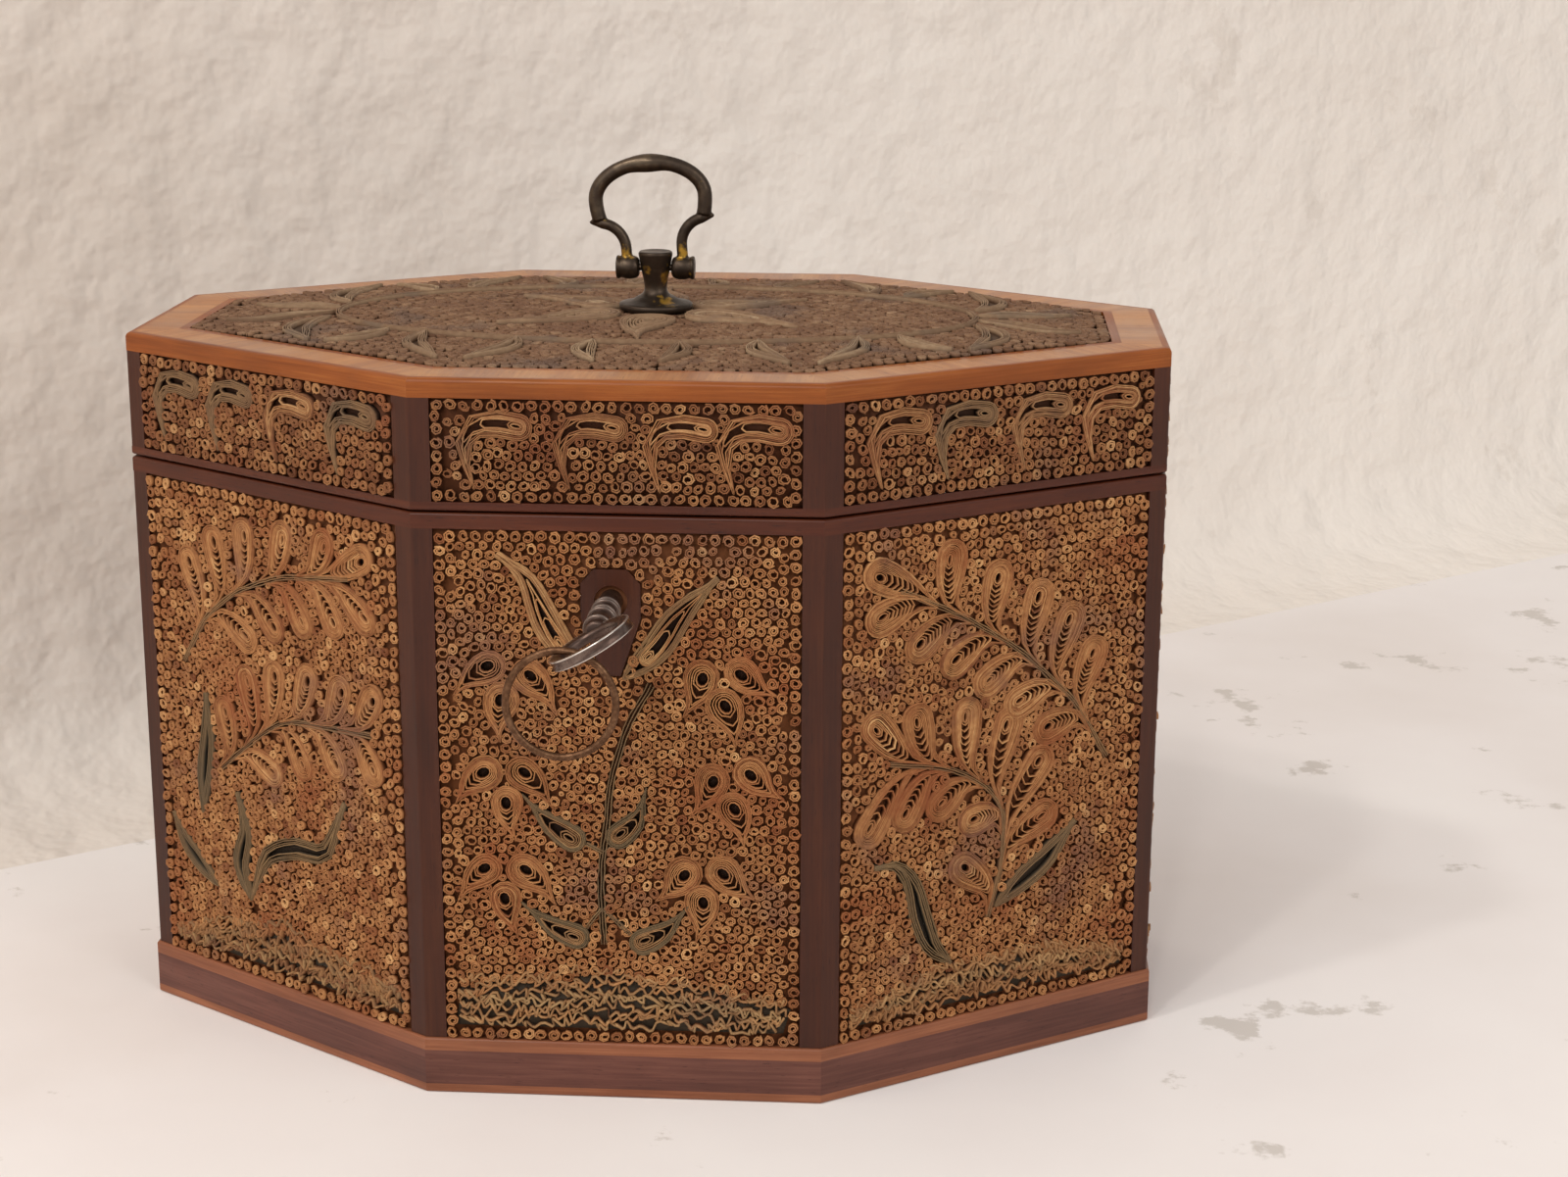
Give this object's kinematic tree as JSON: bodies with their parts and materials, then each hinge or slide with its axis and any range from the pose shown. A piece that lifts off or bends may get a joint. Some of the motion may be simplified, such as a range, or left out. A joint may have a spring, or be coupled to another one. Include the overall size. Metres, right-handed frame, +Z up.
{
  "type": "quillwork caddy box",
  "caption": "Elongated octagonal wooden caddy box with rolled-paper panels, a hinged lid with a bail handle, and a lock with its key and ring.",
  "frame": {"origin": "centre of the base's underside, on the surface the box stands on", "axes": "+X along the box's length, +Y towards the hinges at the back, -Y the front with the keyhole, +Z up"},
  "size_m": [0.181, 0.1534, 0.1519],
  "materials": {
    "mahogany": "dark red-brown, worn wax polish",
    "boxwood": "honey, polished",
    "pine": "bare, aged",
    "quilled_paper": "matt rolled paper with gilt edges",
    "quilled_paper_top": "matt rolled paper, faded grey-brown",
    "tin_foil": "dull grey foil",
    "lining_paper": "matt",
    "brass": "aged",
    "steel": "worn, brown-grey",
    "old_brass_wire": "dull",
    "bronze": "dark patina with bright creases"
  },
  "bodies": {
    "case": {"bottom_board": "pine", "case_front_board": "pine", "case_back_board": "pine", "case_side_boards": "pine", "case_corner_posts": "mahogany", "case_top_rail": "mahogany", "plinth_band": "mahogany", "plinth_upper_line": "boxwood", "plinth_lower_line": "boxwood", "keyhole_surround": "mahogany", "case_foil_lining": "tin_foil", "lock_case": "brass", "lock_cap": "brass", "lock_cap_screws": "steel", "lock_drill_pin": "steel", "lock_spring": "steel", "lock_screws": "steel", "hinge_case_leaves": "brass", "hinge_pins": "steel", "hinge_case_screws": "steel", "front_quilled_panel": "quilled_paper", "front_right_quilled_panel": "quilled_paper", "right_end_quilled_panel": "quilled_paper", "back_right_quilled_panel": "quilled_paper", "back_quilled_panel": "quilled_paper", "back_left_quilled_panel": "quilled_paper", "left_end_quilled_panel": "quilled_paper", "front_left_quilled_panel": "quilled_paper"},
    "lid": {"lid_wall_boards": "pine", "lid_top_board": "pine", "lid_corner_posts": "mahogany", "lid_bottom_rail": "mahogany", "lid_edge_line": "boxwood", "lid_crossbanding": "mahogany", "lid_inner_line": "boxwood", "lid_top_quilled_panel": "quilled_paper_top", "lid_lining": "lining_paper", "link_plate": "brass", "link_plate_screws": "steel", "hinge_lid_leaves": "brass", "hinge_lid_screws": "steel", "handle_rosette": "bronze", "handle_post": "bronze", "handle_washer": "bronze", "handle_nut": "bronze", "lid_front_quilled_panel": "quilled_paper", "lid_front_right_quilled_panel": "quilled_paper", "lid_right_end_quilled_panel": "quilled_paper", "lid_back_right_quilled_panel": "quilled_paper", "lid_back_quilled_panel": "quilled_paper", "lid_back_left_quilled_panel": "quilled_paper", "lid_left_end_quilled_panel": "quilled_paper", "lid_front_left_quilled_panel": "quilled_paper"},
    "bail": {"bail": "bronze", "bail_pin": "bronze"},
    "key": {"key": "steel"},
    "key_ring": {"key_ring": "old_brass_wire"},
    "bolt": {"lock_bolt": "brass"}
  },
  "joints": [
    {"name": "lid_hinge", "type": "hinge", "parent": "case", "child": "lid", "pos_m": [0, 0.0615, 0.10095], "axis": [-1, 0, 0], "range_deg": [0, 95]},
    {"name": "bail_swing", "type": "hinge", "parent": "lid", "child": "bail", "pos_m": [0, 0, 0.1321], "axis": [1, 0, 0], "range_deg": [-107, 107]},
    {"name": "key_turn", "type": "hinge", "parent": "case", "child": "key", "pos_m": [-0.0011, -0.07, 0.0866], "axis": [0, 1, 0], "range_deg": [-60, 300]},
    {"name": "lock_bolt_slide", "type": "slide", "parent": "case", "child": "bolt", "axis": [1, 0, 0], "range_m": [-0.00067, 0.00334]},
    {"name": "ring_swing", "type": "hinge", "parent": "key", "child": "key_ring", "pos_m": [-0.0056, -0.086, 0.0853], "axis": [1, 0, 0], "range_deg": [-30, 30]}
  ],
  "couplings": [
    {"joint": "lock_bolt_slide", "follows": "key_turn", "m_per_rad": 0.000637}
  ]
}
